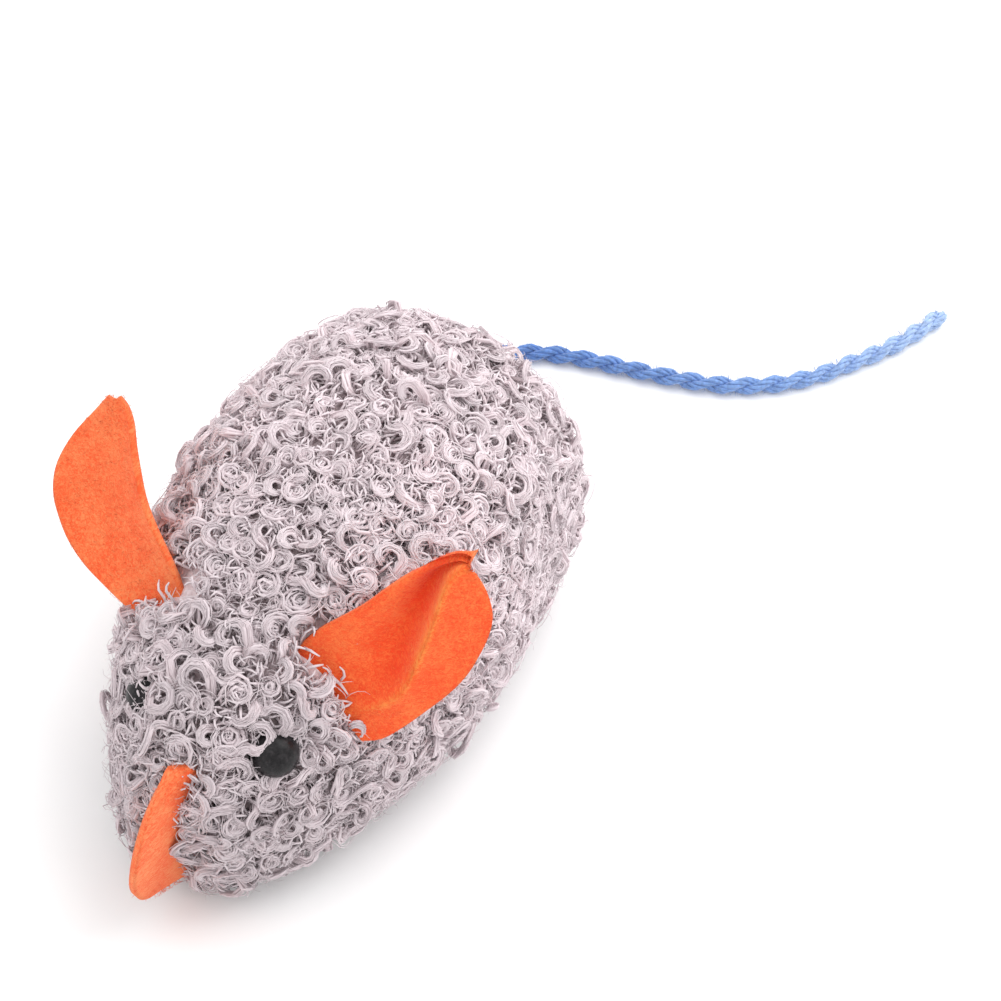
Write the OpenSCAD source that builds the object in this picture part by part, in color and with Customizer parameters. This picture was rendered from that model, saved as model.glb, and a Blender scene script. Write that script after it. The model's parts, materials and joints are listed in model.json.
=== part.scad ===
// Clockwork mouse: a curly plush cover over a moulded shell, with a spring motor on the base.
// Millimetres. +Z is up, the nose points to -Y, the tail leaves to +Y, the mouse's left is +X.
// The origin is on the floor, under the middle of the mouse.

/* [Body] */
// Y of the blunt front of the face
body_front = -42.5; // [-46:0.5:-40]
// Y of the rounded rear
body_rear = 50.5; // [49:0.5:54]
// Thickness of the curly pile fabric
fur_t = 4; // [3:0.5:5]
// Wall of the moulded shell under the fabric
shell_t = 1.4; // [1:0.2:1.8]
// Height of the underside of the base plate above the floor
base_z = 4.5; // [4:0.5:4.5]
// Thickness of the base plate
base_t = 1.5; // [1.2:0.1:2]

/* [Face] */
// Length of a felt ear from its root to its tip
ear_len = 30; // [24:1:32]
// Greatest width of a felt ear
ear_w = 20; // [16:1:22]
// Thickness of the felt
felt_t = 1.2; // [0.8:0.1:1.5]
// Radius of the round felt nose, sewn edge-on into the face seam
nose_r = 12; // [10:0.5:13]
// Diameter of an eye
eye_d = 7; // [6:0.5:8]

/* [Wheels] */
// Diameter over the rubber tyre of a drive wheel
tyre_d = 14; // [13:0.5:14.5]
// Width of a drive wheel
wheel_w = 4; // [3:0.5:4]
// Diameter of the drive axle
axle_d = 2; // [1.6:0.1:2.2]
// Diameter of the small front wheel
front_wheel_d = 10; // [9:0.5:10.5]

/* [Motor] */
// Module of all the gears
gear_module = 0.5; // [0.5:0.1:0.5]
// Teeth of the great gear on the winding arbor
great_teeth = 36; // [36:2:36]
// Teeth of each small pinion
pinion_teeth = 12; // [12:1:12]
// Teeth of the larger wheel of the second gear
second_teeth = 36; // [36:2:36]
// Teeth of the larger wheel of the third gear
third_teeth = 30; // [30:2:30]
// Wall of the motor housing
housing_t = 1; // [0.8:0.1:1]
// Diameter of the winding arbor
arbor_d = 3; // [2.6:0.2:3]
// Turns of the mainspring
spring_turns = 6; // [4:1:7]

/* [Tail] */
// Diameter of the twisted cord tail
tail_d = 3; // [2.4:0.2:3.4]

/* [Hidden] */
$fn = 48;
eps = 0.01;
run_gap = 0.05;      // radial clearance of everything that turns on a pin

// Body sections, evenly spaced in the angle u that sweeps from the nose to the rear:
// half width, top and bottom at u = 0, 1/8, 2/8 ... 1
body_rows = [
    [0, 22, 22], [9.4, 29.3, 4.4], [17.4, 38.8, 3.2], [24.2, 45.2, 2], [28.2, 50.8, 2],
    [28.1, 52.4, 2], [25.8, 49, 2.2], [21.6, 43.5, 4], [0, 24, 24]
];
body_rings = 16;
body_sides = 24;
top_power = 2.2;     // how square a section is above its widest line
low_power = 3.4;     // and below it
waist = 0.4;         // the widest line, as a share of the section's height

base_top = base_z + base_t;
face_mid = [0, -38.5, 16.5];                  // centre of the round nose felt
ear_root = [15.5, -17.3, 35.5];               // middle of the left ear's sewn edge
ear_up = unit([0.52, 0.5, 0.68]);             // the way the ear grows
ear_across = unit(reject([12, -0.1, -13.5], ear_up));
ear_sink = 2.6;                               // how deep the sewn edge goes into the fabric
eye_at = [12, -30.7, 31.6];
eye_out = unit([0.62, -0.58, 0.53]);
eye_sink = 1.6;
shank_d = 2;

motor_half = 8;                               // half the width of the closed motor
motor_front = -2.5;
motor_back = 36;
motor_top = 34.5;
arbor_at = [24, 15.5];                        // Y and Z of each arbor of the train
axle_at = [15.5, tyre_d/2];
third_at = meet(axle_at, arbor_at, centre_gap(third_teeth, pinion_teeth), 16.6);
second_at = meet(third_at, arbor_at, centre_gap(second_teeth, pinion_teeth),
    centre_gap(great_teeth, pinion_teeth));
pin_d = 1.5;
boss_at = [[-0.1, 6.9], [-0.1, 32.1], [33.6, 32.1], [33.6, 6.9]];
boss_r = 1.8;
foot_t = 1.2;
foot_len = 4;
foot_half = 6;
foot_screws = [motor_front - foot_len/2, motor_back + foot_len/2];
post_at = [[0, -31.5], [-11, 33], [11, 33]];  // the shell's screw posts
post_r = 2.2;
screw_d = 1.6;

wheel_x = 8.8;                                // inner face of a drive wheel
rim_r = tyre_d/2 - 1.6;
front_at = [-21.5, front_wheel_d/2];
front_w = 4;
front_pin_d = 1.6;
key_x = -28.3;                                // where the key's hub starts, outside the fur
key_len = 6.1;
key_span = 14;
key_hub_d = 4.4;

// The tail's middle line: out of the rear, down to the floor, and round to the mouse's left
tail_route = [
    [0, 42.6, 14], [0, 52, 13.8], [-1, 58, 12.2], [-3.2, 63.6, 8.4], [-6.4, 68.6, 4.4], [-9.4, 72.8, 2],
    [-11, 77, 1.6], [-8.2, 81.2, 1.6], [-2.8, 84.6, 1.6], [3.4, 86.8, 1.6], [10, 88.4, 1.6],
    [17, 89.9, 1.6], [24, 91.8, 1.6], [30, 94.2, 1.6], [36, 98.1, 1.6], [41, 103, 1.6],
    [45, 108.6, 1.6], [48.8, 114.4, 1.6], [51.8, 120.4, 1.6], [54.4, 127.2, 1.6]
];
tail_sides = 8;
tail_steps = 3;                               // rings between two points of the route

fur_colour = [0.76, 0.69, 0.71];
felt_colour = [1, 0.42, 0.2];
cord_colour = [0.36, 0.52, 0.8];
black = [0.08, 0.07, 0.08];
shell_colour = [0.55, 0.55, 0.57];
motor_colour = [0.92, 0.92, 0.9];
gear_colour = [0.93, 0.9, 0.8];
steel = [0.72, 0.73, 0.75];

// ---------- small vector and curve functions ----------
function unit(v) = v / norm(v);
function reject(v, along) = v - (v * along) * along;
function mix(a, b, t) = a + (b - a) * t;
function signed_power(v, p) = sign(v) * pow(abs(v), p);
function centre_gap(a, b) = gear_module * (a + b) / 2;
// the point at distance ra from a and rb from b, on the upper side of the line between them
function meet(a, b, ra, rb) =
    let (d = norm(b - a), along = (ra*ra - rb*rb + d*d) / (2*d), off = sqrt(ra*ra - along*along),
        dir = (b - a) / d, side = dir[0] > 0 ? [-dir[1], dir[0]] : [dir[1], -dir[0]])
    a + dir * along + side * off;
function direction(from, to) = atan2(to[1] - from[1], to[0] - from[0]);
// Catmull-Rom through evenly spaced rows
function along_rows(rows, t) =
    let (last = len(rows) - 1, s = min(max(t, 0), 1) * last, i = min(floor(s), last - 1), f = s - i,
        p0 = rows[max(i - 1, 0)], p1 = rows[i], p2 = rows[i + 1], p3 = rows[min(i + 2, last)])
    p1 + 0.5 * f * (p2 - p0 + f * (2*p0 - 5*p1 + 4*p2 - p3 + f * (3*(p1 - p2) + p3 - p0)));

// ---------- the body's outline ----------
function body_y(u) = mix(body_front, body_rear, (1 - cos(180 * u)) / 2);
function section_point(u, a) =
    let (r = along_rows(body_rows, u), mid = mix(r[2], r[1], waist), up = sin(a) > 0,
        power = up ? top_power : low_power, reach = up ? r[1] - mid : mid - r[2])
    [r[0] * signed_power(cos(a), 2/power), body_y(u), mid + reach * signed_power(sin(a), 2/power)];
// the same point, moved straight in from the surface
function inset_point(u, a, inset) =
    let (p = section_point(u, a), along = section_point(u + 0.004, a) - section_point(u - 0.004, a),
        around = section_point(u, a + 2) - section_point(u, a - 2))
    p + inset * unit(cross(around, along));
// half width of the body at u and height z
function half_width(u, z) =
    let (r = along_rows(body_rows, u), mid = mix(r[2], r[1], waist), drop = min((mid - z) / (mid - r[2]), 1))
    r[0] * pow(1 - pow(drop, low_power), 1/low_power);

module body_solid(inset) {
    ring_u = [for (i = [0.5 : body_rings - 0.5]) i / body_rings];
    points = concat(
        [for (u = ring_u) for (k = [0 : body_sides - 1]) inset_point(u, 360 * k / body_sides, inset)],
        [[0, body_front + inset, body_rows[0][1]], [0, body_rear - inset, body_rows[8][1]]]);
    tip = body_rings * body_sides;
    faces = concat(
        [for (i = [0 : body_rings - 2]) for (k = [0 : body_sides - 1])
            let (a = i * body_sides + k, b = i * body_sides + (k + 1) % body_sides)
            each [[a, b, b + body_sides], [a, b + body_sides, a + body_sides]]],
        [for (k = [0 : body_sides - 1]) [tip, (k + 1) % body_sides, k]],
        [for (k = [0 : body_sides - 1])
            let (a = (body_rings - 1) * body_sides) [tip + 1, a + k, a + (k + 1) % body_sides]]);
    polyhedron(points, faces, convexity = 4);
}

// the outline of the opening in the underside, drawn in by margin
module base_outline(margin) {
    steps = [for (u = [0.18 : 0.04 : 0.82])
        [half_width(u, base_top) - 6 - margin, mix(body_y(u), 4, margin / 40)]];
    polygon(concat(steps, [for (i = [len(steps) - 1 : -1 : 0]) [-steps[i][0], steps[i][1]]]));
}

// stands a shape drawn along +Z on the line from a point, pointing along a direction
module point_along(at, dir) {
    translate(at) rotate([0, acos(dir[2]), atan2(dir[1], dir[0])]) children();
}

// a rod or bore across the mouse, from x0 to x1, at [y, z]
module across(at, r, x0, x1) {
    translate([x0, at[0], at[1]]) rotate([0, 90, 0]) cylinder(r = r, h = x1 - x0);
}

// lays a flat outline in [y, z] on its side, from x0 to x1
module side_plate(x0, x1) {
    translate([x0, 0, 0]) rotate([90, 0, 90]) linear_extrude(x1 - x0) children();
}

// ---------- felt pieces ----------
function ear_half(t) =
    t < 0.4 ? mix(0.88, 1, sin(225 * t)) * ear_w / 2 : ear_w / 2 * pow(1 - pow((t - 0.4) / 0.6, 2.2), 0.5);

module ear_flat(grow) {
    side = [for (i = [0 : 16]) let (t = i / 16) [ear_half(t) + grow, -ear_sink + (ear_len + ear_sink) * t]];
    linear_extrude(felt_t + 2 * grow, center = true)
        polygon(concat(side, [for (i = [15 : -1 : 0]) [-side[i][0], side[i][1]]]));
}

module ear(grow = 0) {
    normal = cross(ear_across, ear_up);
    multmatrix([
        [ear_across[0], ear_up[0], normal[0], ear_root[0]],
        [ear_across[1], ear_up[1], normal[1], ear_root[1]],
        [ear_across[2], ear_up[2], normal[2], ear_root[2]],
        [0, 0, 0, 1]
    ]) ear_flat(grow);
}

module nose_disc() {
    intersection() {
        across([face_mid[1], face_mid[2]], nose_r, -felt_t/2, felt_t/2);
        translate([-felt_t, face_mid[1] - 2 * nose_r, 0])
            cube([2 * felt_t, 2 * nose_r - 1, 3 * nose_r]);
    }
}

module eye() {
    point_along(eye_at - eye_sink * eye_out, eye_out) {
        rotate_extrude() intersection() {
            translate([0, 0.8 - eye_d/2 + 2.2]) circle(d = eye_d);
            translate([0, 0]) square([eye_d, eye_d]);
        }
        translate([0, 0, -6]) cylinder(d = shank_d, h = 6 + eps);
    }
}

module eye_shank_hole() {
    point_along(eye_at - (eye_sink + 9) * eye_out, eye_out) cylinder(d = shank_d + 0.1, h = 10);
}

module eye_hole() {
    point_along(eye_at - eye_sink * eye_out, eye_out) cylinder(d = eye_d + 0.6, h = 12);
    eye_shank_hole();
}

module eye_washer() {
    point_along(eye_at - (eye_sink + 5.6) * eye_out, eye_out) difference() {
        cylinder(d = 5, h = 0.8);
        translate([0, 0, -1]) cylinder(d = shank_d, h = 3);
    }
}

// ---------- covers ----------
module fur_cover() {
    color(fur_colour) difference() {
        body_solid(0);
        body_solid(fur_t);
        linear_extrude(fur_t + 6) base_outline(0);
        ear();
        mirror([1, 0, 0]) ear();
        nose_disc();
        eye_hole();
        mirror([1, 0, 0]) eye_hole();
        across(arbor_at, key_hub_d/2 + 0.5, -40, 0);
        across(arbor_at, key_span/2 + 1, -40, key_x + 0.7);
        tail_hole();
    }
}

module body_shell() {
    color(shell_colour) {
        difference() {
            body_solid(fur_t);
            body_solid(fur_t + shell_t);
            translate([-50, -70, base_top - 40]) cube([100, 140, 40]);
            linear_extrude(base_top + 3) base_outline(2.5);
            eye_shank_hole();
            mirror([1, 0, 0]) eye_shank_hole();
            across(arbor_at, arbor_d/2 + 0.4, -40, 0);
            tail_hole();
            // room for the motor's rear foot and its screw
            translate([-foot_half - 0.3, motor_back, 0])
                cube([2 * foot_half + 0.6, foot_len + 0.4, base_top + foot_t + 1]);
        }
        for (p = post_at) difference() {
            intersection() {
                body_solid(fur_t + shell_t/2);
                translate([p[0], p[1], base_top]) cylinder(r = post_r, h = 60);
            }
            translate([p[0], p[1], base_top - 1]) cylinder(d = screw_d, h = 12);
        }
    }
}

module base_plate() {
    color(shell_colour) difference() {
        union() {
            translate([0, 0, base_z]) linear_extrude(base_t) base_outline(0.1);
            for (s = [-1, 1]) translate([s * 4.2 - 1.2, front_at[0] - 3, base_z]) cube([2.4, 6, 4]);
        }
        translate([-motor_half - 0.2, motor_front - 0.2, 0])
            cube([2 * motor_half + 0.4, motor_back - motor_front + 0.4, 20]);
        translate([-wheel_x - wheel_w - 0.8, axle_at[0] - tyre_d/2 - 1, 0])
            cube([2 * (wheel_x + wheel_w + 0.8), tyre_d + 2, 20]);
        translate([-front_w/2 - 0.6, front_at[0] - front_wheel_d/2 - 0.8, 0])
            cube([front_w + 1.2, front_wheel_d + 1.6, 20]);
        across(front_at, front_pin_d/2, -10, 10);
        for (p = post_at) translate([p[0], p[1], 0]) {
            cylinder(d = screw_d + 0.3, h = 10);
            cylinder(d = 3.4, h = base_z + 0.6);
        }
        for (y = foot_screws) translate([0, y, 0]) cylinder(d = screw_d, h = 10);
    }
}

// a small pan-head screw, its head's underside at z = 0 and its thread downwards
module screw(thread_len, head_d = 3) {
    translate([0, 0, -thread_len]) cylinder(d = screw_d, h = thread_len + eps);
    difference() {
        cylinder(d = head_d, h = 0.6);
        for (a = [0, 90]) rotate(a) translate([-head_d, -0.15, 0.35]) cube([2 * head_d, 0.3, 1]);
    }
}

module base_screws() {
    color(steel) for (p = post_at) translate([p[0], p[1], base_z + 0.6]) mirror([0, 0, 1]) screw(8);
}

// ---------- motor ----------
module housing_outline(inset) {
    translate([motor_front + inset, base_z + inset])
        square([motor_back - motor_front - 2 * inset, motor_top - base_z - 2 * inset]);
}

module bearings(x0, x1) {
    across(arbor_at, arbor_d/2 + run_gap, x0, x1);
    across(axle_at, axle_d/2 + run_gap, x0, x1);
}

module motor_housing() {
    inner = motor_half - housing_t;
    color(motor_colour) difference() {
        union() {
            difference() {
                side_plate(-motor_half, inner) housing_outline(0);
                side_plate(-inner, motor_half) housing_outline(housing_t);
            }
            for (b = boss_at) across(b, boss_r, -inner - eps, inner);
            for (y = [motor_front - foot_len, motor_back - eps])
                translate([-foot_half, y, base_top]) cube([2 * foot_half, foot_len + eps, foot_t]);
        }
        bearings(-20, 0);
        for (b = boss_at) across(b, 0.5, 1, 20);
        for (pin = [second_at, third_at]) across(pin, pin_d/2, -20, 0);
        across(post_hook, 0.6, -20, 0);
        // the axle's pinion turns in a slot in the floor
        translate([third_x[0] - 0.4, axle_at[0] - 3.7, base_z - 1])
            cube([third_x[1] - third_x[0] + 0.7, 7.4, housing_t + 2]);
        for (y = foot_screws) translate([0, y, 0]) cylinder(d = screw_d + 0.3, h = 20);
    }
}

module motor_cover() {
    color(motor_colour) difference() {
        side_plate(motor_half - housing_t, motor_half) housing_outline(0);
        bearings(0, 20);
        for (b = boss_at) across(b, 0.6, 0, 20);
        for (pin = [second_at, third_at]) across(pin, pin_d/2, 0, 20);
    }
}

module cover_screws() {
    color(steel) for (b = boss_at) {
        across(b, 0.5, 2.5, motor_half + eps);
        difference() {
            across(b, 0.85, motor_half, motor_half + 0.5);
            translate([motor_half + 0.3, b[0] - 2, b[1] - 0.15]) cube([1, 4, 0.3]);
        }
    }
}

module motor_screws() {
    color(steel) for (y = foot_screws) translate([0, y, base_top + foot_t]) screw(foot_t + base_t);
}

// the post that holds the mainspring's outer end
spring_out_r = 7.4;
post_hook = arbor_at + 8.4 * [cos(-45), sin(-45)];

module spring_post() {
    color(steel) across(post_hook, 0.6, -motor_half, -0.4);
}

module mainspring() {
    strip = 0.3;
    inner_r = arbor_d/2 + run_gap;
    end = 360 * spring_turns - 45;
    steps = 24 * spring_turns;
    // open near the arbor, closer together towards the outside
    radii = [for (i = [0 : steps]) let (t = i / steps) inner_r + strip/2 + (spring_out_r - inner_r) * pow(t, 0.8)];
    color(steel) side_plate(-5.8, -0.6) {
        polygon(concat(
            [for (i = [0 : steps]) (radii[i] + strip/2) * [cos(end * i/steps), sin(end * i/steps)] + arbor_at],
            [for (i = [steps : -1 : 0]) (radii[i] - strip/2) * [cos(end * i/steps), sin(end * i/steps)] + arbor_at]));
        difference() {
            translate(arbor_at) circle(r = inner_r + strip);
            translate(arbor_at) circle(r = inner_r);
        }
        difference() {
            translate(post_hook) circle(r = 0.6 + strip + 0.05);
            translate(post_hook) circle(r = 0.6);
        }
    }
}

// involute gear outline, one tooth centred on the angle turn
module gear_outline(teeth, turn) {
    pitch_r = gear_module * teeth / 2;
    base_r = pitch_r * cos(20);
    tip_r = pitch_r + 0.85 * gear_module;
    root_r = pitch_r - 1.3 * gear_module;
    flank_r = max(base_r, root_r);
    backlash = 0.07;
    half_pitch = 90 / teeth - backlash / pitch_r * 180 / PI;
    involute_20 = tan(20) * 180 / PI - 20;
    // half the tooth's angle at radius r
    function half_angle(r) =
        let (a = acos(min(base_r / r, 1))) half_pitch + involute_20 - (tan(a) * 180 / PI - a);
    flank = [for (j = [0 : 4]) mix(flank_r, tip_r, j / 4)];
    polygon([for (k = [0 : teeth - 1]) each let (mid = turn + 360 * k / teeth) concat(
        [root_r * [cos(mid - half_angle(flank_r) - 1), sin(mid - half_angle(flank_r) - 1)]],
        [for (r = flank) r * [cos(mid - half_angle(r)), sin(mid - half_angle(r))]],
        [for (j = [4 : -1 : 0]) flank[j] * [cos(mid + half_angle(flank[j])), sin(mid + half_angle(flank[j]))]],
        [root_r * [cos(mid + half_angle(flank_r) + 1), sin(mid + half_angle(flank_r) + 1)]])]);
}

// a gear at [y, z]: with toward, a tooth points at that arbor; with away, a gap does
module gear(at, teeth, x0, x1, toward) {
    side_plate(x0, x1) translate(at) gear_outline(teeth, direction(at, toward));
}

module pinion(at, x0, x1, toward) {
    side_plate(x0, x1) translate(at)
        gear_outline(pinion_teeth, direction(at, toward) + 180 / pinion_teeth);
}

great_x = [4.1, 5.3];
second_x = [2.5, 3.7];
third_x = [1.1, 2.3];

module great_gear() {
    color(gear_colour) difference() {
        gear(arbor_at, great_teeth, great_x[0], great_x[1], second_at);
        across(arbor_at, arbor_d/2 + run_gap, 0, 10);
        for (a = [0 : 60 : 300])
            across(arbor_at + 5.6 * [cos(a + 30), sin(a + 30)], 1.3, 0, 10);
    }
}

// spring-steel click riveted to the great gear's face, its tip in the ratchet's teeth
click_at = arbor_at + 6.6 * [cos(120), sin(120)];
module ratchet_click() {
    tip = arbor_at + 3.75 * [cos(62), sin(62)];
    color(steel) side_plate(great_x[1], great_x[1] + 0.9) difference() {
        polygon([
            click_at + [-1.1, -0.6], click_at + [-0.6, 1], click_at + [1, 0.9],
            tip + [0.35, 0.7], tip + [0.05, 0.12], tip + [-0.5, 0.35], click_at + [0.7, -0.7]
        ]);
        translate(click_at) circle(r = 0.35);
    }
}

module ratchet_wheel() {
    teeth = 10;
    step = 360 / teeth;
    color(steel) difference() {
        side_plate(great_x[1] + 0.1, great_x[1] + 1) translate(arbor_at)
            polygon([for (k = [0 : teeth - 1]) each [
                3.5 * [cos(62 + step * k), sin(62 + step * k)],
                2.6 * [cos(66 + step * k), sin(66 + step * k)]
            ]]);
        across(arbor_at, arbor_d/2, 0, 10);
    }
}

// a large wheel and a pinion on one sleeve, turning on a fixed pin
module compound(at, teeth, wheel_x01, pinion_x01, drives, driven_by) {
    inner = motor_half - housing_t - 0.1;
    difference() {
        union() {
            gear(at, teeth, wheel_x01[0], wheel_x01[1], drives);
            pinion(at, pinion_x01[0], pinion_x01[1], driven_by);
            across(at, 1.4, -inner, inner);
        }
        across(at, pin_d/2 + run_gap, -10, 10);
    }
}

module second_gear() {
    color(gear_colour)
        compound(second_at, second_teeth, second_x, [second_x[1], great_x[1] + 0.2], third_at, arbor_at);
}

module third_gear() {
    color(gear_colour)
        compound(third_at, third_teeth, third_x, [third_x[1], second_x[1] + 0.2], axle_at, second_at);
}

module fixed_pin(at) {
    across(at, pin_d/2, -motor_half, motor_half);
}
module second_pin() {
    color(steel) fixed_pin(second_at);
}
module third_pin() {
    color(steel) fixed_pin(third_at);
}

module axle_pinion() {
    color(gear_colour) difference() {
        pinion(axle_at, third_x[0] - 0.2, third_x[1] + 0.1, third_at);
        across(axle_at, axle_d/2, -10, 10);
    }
}

module winding_arbor() {
    color(steel) across(arbor_at, arbor_d/2, key_x - key_len + 1, motor_half - 0.1);
}

module drive_axle() {
    color(steel) across(axle_at, axle_d/2, -wheel_x - wheel_w - 0.4, wheel_x + wheel_w + 0.4);
}

// ---------- wheels and key ----------
module wheel() {
    translate([wheel_x, axle_at[0], axle_at[1]]) rotate([0, 90, 0]) difference() {
        union() {
            difference() {
                cylinder(r = rim_r, h = wheel_w);
                translate([0, 0, 1]) cylinder(r = rim_r - 1, h = wheel_w);
            }
            cylinder(r = 2, h = wheel_w);
        }
        translate([0, 0, -1]) cylinder(d = axle_d, h = wheel_w + 2);
    }
}

module tyre() {
    translate([wheel_x, axle_at[0], axle_at[1]]) rotate([0, 90, 0]) rotate_extrude()
        polygon([
            [rim_r, 0], [tyre_d/2 - 0.5, 0], [tyre_d/2, 0.6],
            [tyre_d/2, wheel_w - 0.6], [tyre_d/2 - 0.5, wheel_w], [rim_r, wheel_w]
        ]);
}

module wheel_left() {
    color(motor_colour) wheel();
}
module wheel_right() {
    color(motor_colour) mirror([1, 0, 0]) wheel();
}
module tyre_left() {
    color(black) tyre();
}
module tyre_right() {
    color(black) mirror([1, 0, 0]) tyre();
}

module front_wheel() {
    color(black) difference() {
        across(front_at, front_wheel_d/2, -front_w/2, front_w/2);
        across(front_at, front_pin_d/2 + run_gap, -10, 10);
    }
}

module front_axle() {
    color(steel) across(front_at, front_pin_d/2, -5.4, 5.4);
}

module winding_key() {
    lobe = key_span/2 - 3.2;
    color(steel) difference() {
        union() {
            across(arbor_at, key_hub_d/2, key_x - 3, key_x);
            translate([0, 0, arbor_at[1] - 0.6]) linear_extrude(1.2) difference() {
                hull() for (s = [-1, 1])
                    translate([key_x - key_len + 3.2, arbor_at[0] + s * lobe]) circle(r = 3.2);
                for (s = [-1, 1])
                    translate([key_x - key_len + 3.2, arbor_at[0] + s * (lobe + 0.2)]) circle(r = 1.6);
            }
        }
        across(arbor_at, arbor_d/2, -60, 0);
    }
}

// ---------- tail ----------
function tail_point(t) = along_rows(tail_route, t);
module tail_hole() {
    translate([0, 38, tail_route[0][2]]) rotate([-90, 0, 0]) cylinder(d = tail_d + 0.8, h = 20);
}

module tail() {
    rings = (len(tail_route) - 1) * tail_steps;
    middle = [for (i = [0 : rings]) tail_point(i / rings)];
    ring_points = [for (i = [0 : rings])
        let (way = unit(middle[min(i + 1, rings)] - middle[max(i - 1, 0)]),
            side = unit(cross(way, [0, 0, 1])), rise = cross(side, way))
        each [for (k = [0 : tail_sides - 1]) let (a = 360 * (k + 0.5) / tail_sides)
            middle[i] + tail_d/2 * (cos(a) * side + sin(a) * rise)]];
    faces = concat(
        [[for (k = [0 : tail_sides - 1]) k]],
        [for (i = [0 : rings - 1]) for (k = [0 : tail_sides - 1])
            let (a = i * tail_sides + k, b = i * tail_sides + (k + 1) % tail_sides)
            each [[a, a + tail_sides, b + tail_sides], [a, b + tail_sides, b]]],
        [[for (k = [tail_sides - 1 : -1 : 0]) rings * tail_sides + k]]);
    color(cord_colour) polyhedron(ring_points, faces, convexity = 6);
}

// the knot inside the shell that the tail hangs from
module tail_knot() {
    color(cord_colour) translate(tail_route[0] - [0, 2.7, 0]) intersection() {
        sphere(r = 3);
        translate([-5, -5, -5]) cube([10, 7.6, 10]);
    }
}

fur_cover();
color(felt_colour) ear();  // ear_left
color(felt_colour) mirror([1, 0, 0]) ear();  // ear_right
color(felt_colour) nose_disc();  // nose_tab
color(black) eye();  // eye_left
color(black) mirror([1, 0, 0]) eye();  // eye_right
color(motor_colour) eye_washer();  // eye_washer_left
color(motor_colour) mirror([1, 0, 0]) eye_washer();  // eye_washer_right
body_shell();
base_plate();
base_screws();
motor_housing();
motor_cover();
cover_screws();
motor_screws();
winding_arbor();
ratchet_wheel();
mainspring();
spring_post();
great_gear();
ratchet_click();
second_gear();
second_pin();
third_gear();
third_pin();
axle_pinion();
drive_axle();
wheel_left();
wheel_right();
tyre_left();
tyre_right();
front_wheel();
front_axle();
winding_key();
tail();
tail_knot();
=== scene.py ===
"""The finished model of a clockwork mouse: curly plush cover, felt ears and nose, bead eyes, twisted cord
tail, and the spring motor, wheels and key that the frame brings. Metres, on the frame's own axes."""

import json
import math
import random

import bmesh
import bpy
from mathutils import Matrix, Vector


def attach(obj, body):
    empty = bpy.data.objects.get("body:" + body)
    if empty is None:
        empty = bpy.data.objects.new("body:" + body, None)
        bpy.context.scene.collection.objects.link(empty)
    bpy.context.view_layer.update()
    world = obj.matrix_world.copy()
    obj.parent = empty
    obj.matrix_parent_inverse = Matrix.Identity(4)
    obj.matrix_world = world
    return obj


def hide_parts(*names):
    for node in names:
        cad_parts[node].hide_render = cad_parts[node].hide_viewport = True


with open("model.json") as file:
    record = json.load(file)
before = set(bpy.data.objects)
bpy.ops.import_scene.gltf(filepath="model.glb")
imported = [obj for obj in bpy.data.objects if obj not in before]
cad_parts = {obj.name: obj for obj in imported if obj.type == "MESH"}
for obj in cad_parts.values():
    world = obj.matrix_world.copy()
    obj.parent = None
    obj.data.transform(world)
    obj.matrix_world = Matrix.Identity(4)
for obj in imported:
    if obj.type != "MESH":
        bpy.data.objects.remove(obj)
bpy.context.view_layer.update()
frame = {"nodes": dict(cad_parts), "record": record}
scene = bpy.context.scene
scene.view_settings.view_transform = "Standard"

# ---------- camera ----------
# A long lens from the front and to the mouse's left, well above it, rolled a few degrees.
camera_lens = 119.2
camera_at = Vector((0.15405, -0.2749, 0.4096))
camera_aim = Vector((0.01821, 0.02656, 0.03296))
camera_right = Vector((0.8731, 0.4875, 0.0))

camera_data = bpy.data.cameras.new("camera")
camera_data.lens = camera_lens
camera_data.sensor_width = 36
camera = bpy.data.objects.new("camera", camera_data)
scene.collection.objects.link(camera)
camera_back = (camera_at - camera_aim).normalized()
camera_right = (camera_right - camera_right.dot(camera_back) * camera_back).normalized()
camera_up = camera_back.cross(camera_right)
camera.matrix_world = Matrix((camera_right, camera_up, camera_back)).transposed().to_4x4()
camera.matrix_world.translation = camera_at
scene.camera = camera


# ---------- tail ----------
# Soft cotton cord of two plies, each of five yarns, knotted inside the shell and led out of the rear seam.
# Dyed blue, deepest near the body, lighter where it has rubbed towards its cut end.
tail_route = [
    (0, 0.0426, 0.014), (0, 0.052, 0.0138), (-0.001, 0.058, 0.0122), (-0.0032, 0.0636, 0.0084),
    (-0.0064, 0.0686, 0.0044), (-0.0094, 0.0728, 0.002), (-0.011, 0.077, 0.0016),
    (-0.0082, 0.0812, 0.0016), (-0.0028, 0.0846, 0.0016), (0.0034, 0.0868, 0.0016),
    (0.010, 0.0884, 0.0016), (0.017, 0.0899, 0.0016), (0.024, 0.0918, 0.0016),
    (0.030, 0.0942, 0.0016), (0.036, 0.0981, 0.0016), (0.041, 0.103, 0.0016),
    (0.045, 0.1086, 0.0016), (0.0488, 0.1144, 0.0016), (0.0518, 0.1204, 0.0016),
    (0.0544, 0.1272, 0.0016),
]
tail_exit = (0, 0.0505, 0.0139)
ply_pitch = 0.0094
ply_offset = 0.00070
yarn_pitch = 0.0046
yarn_offset = 0.00052
yarn_radius = 0.00036
yarns_per_ply = 5
yarn_wobble = 0.00003
tail_step = 0.00042
route_steps = 4000
tail_hair_count = 900
tail_hair_length = 0.0009
tail_hair_radius = 0.00003
tail_hair_root = 0.0012
tail_lift = 0.00004


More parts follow.
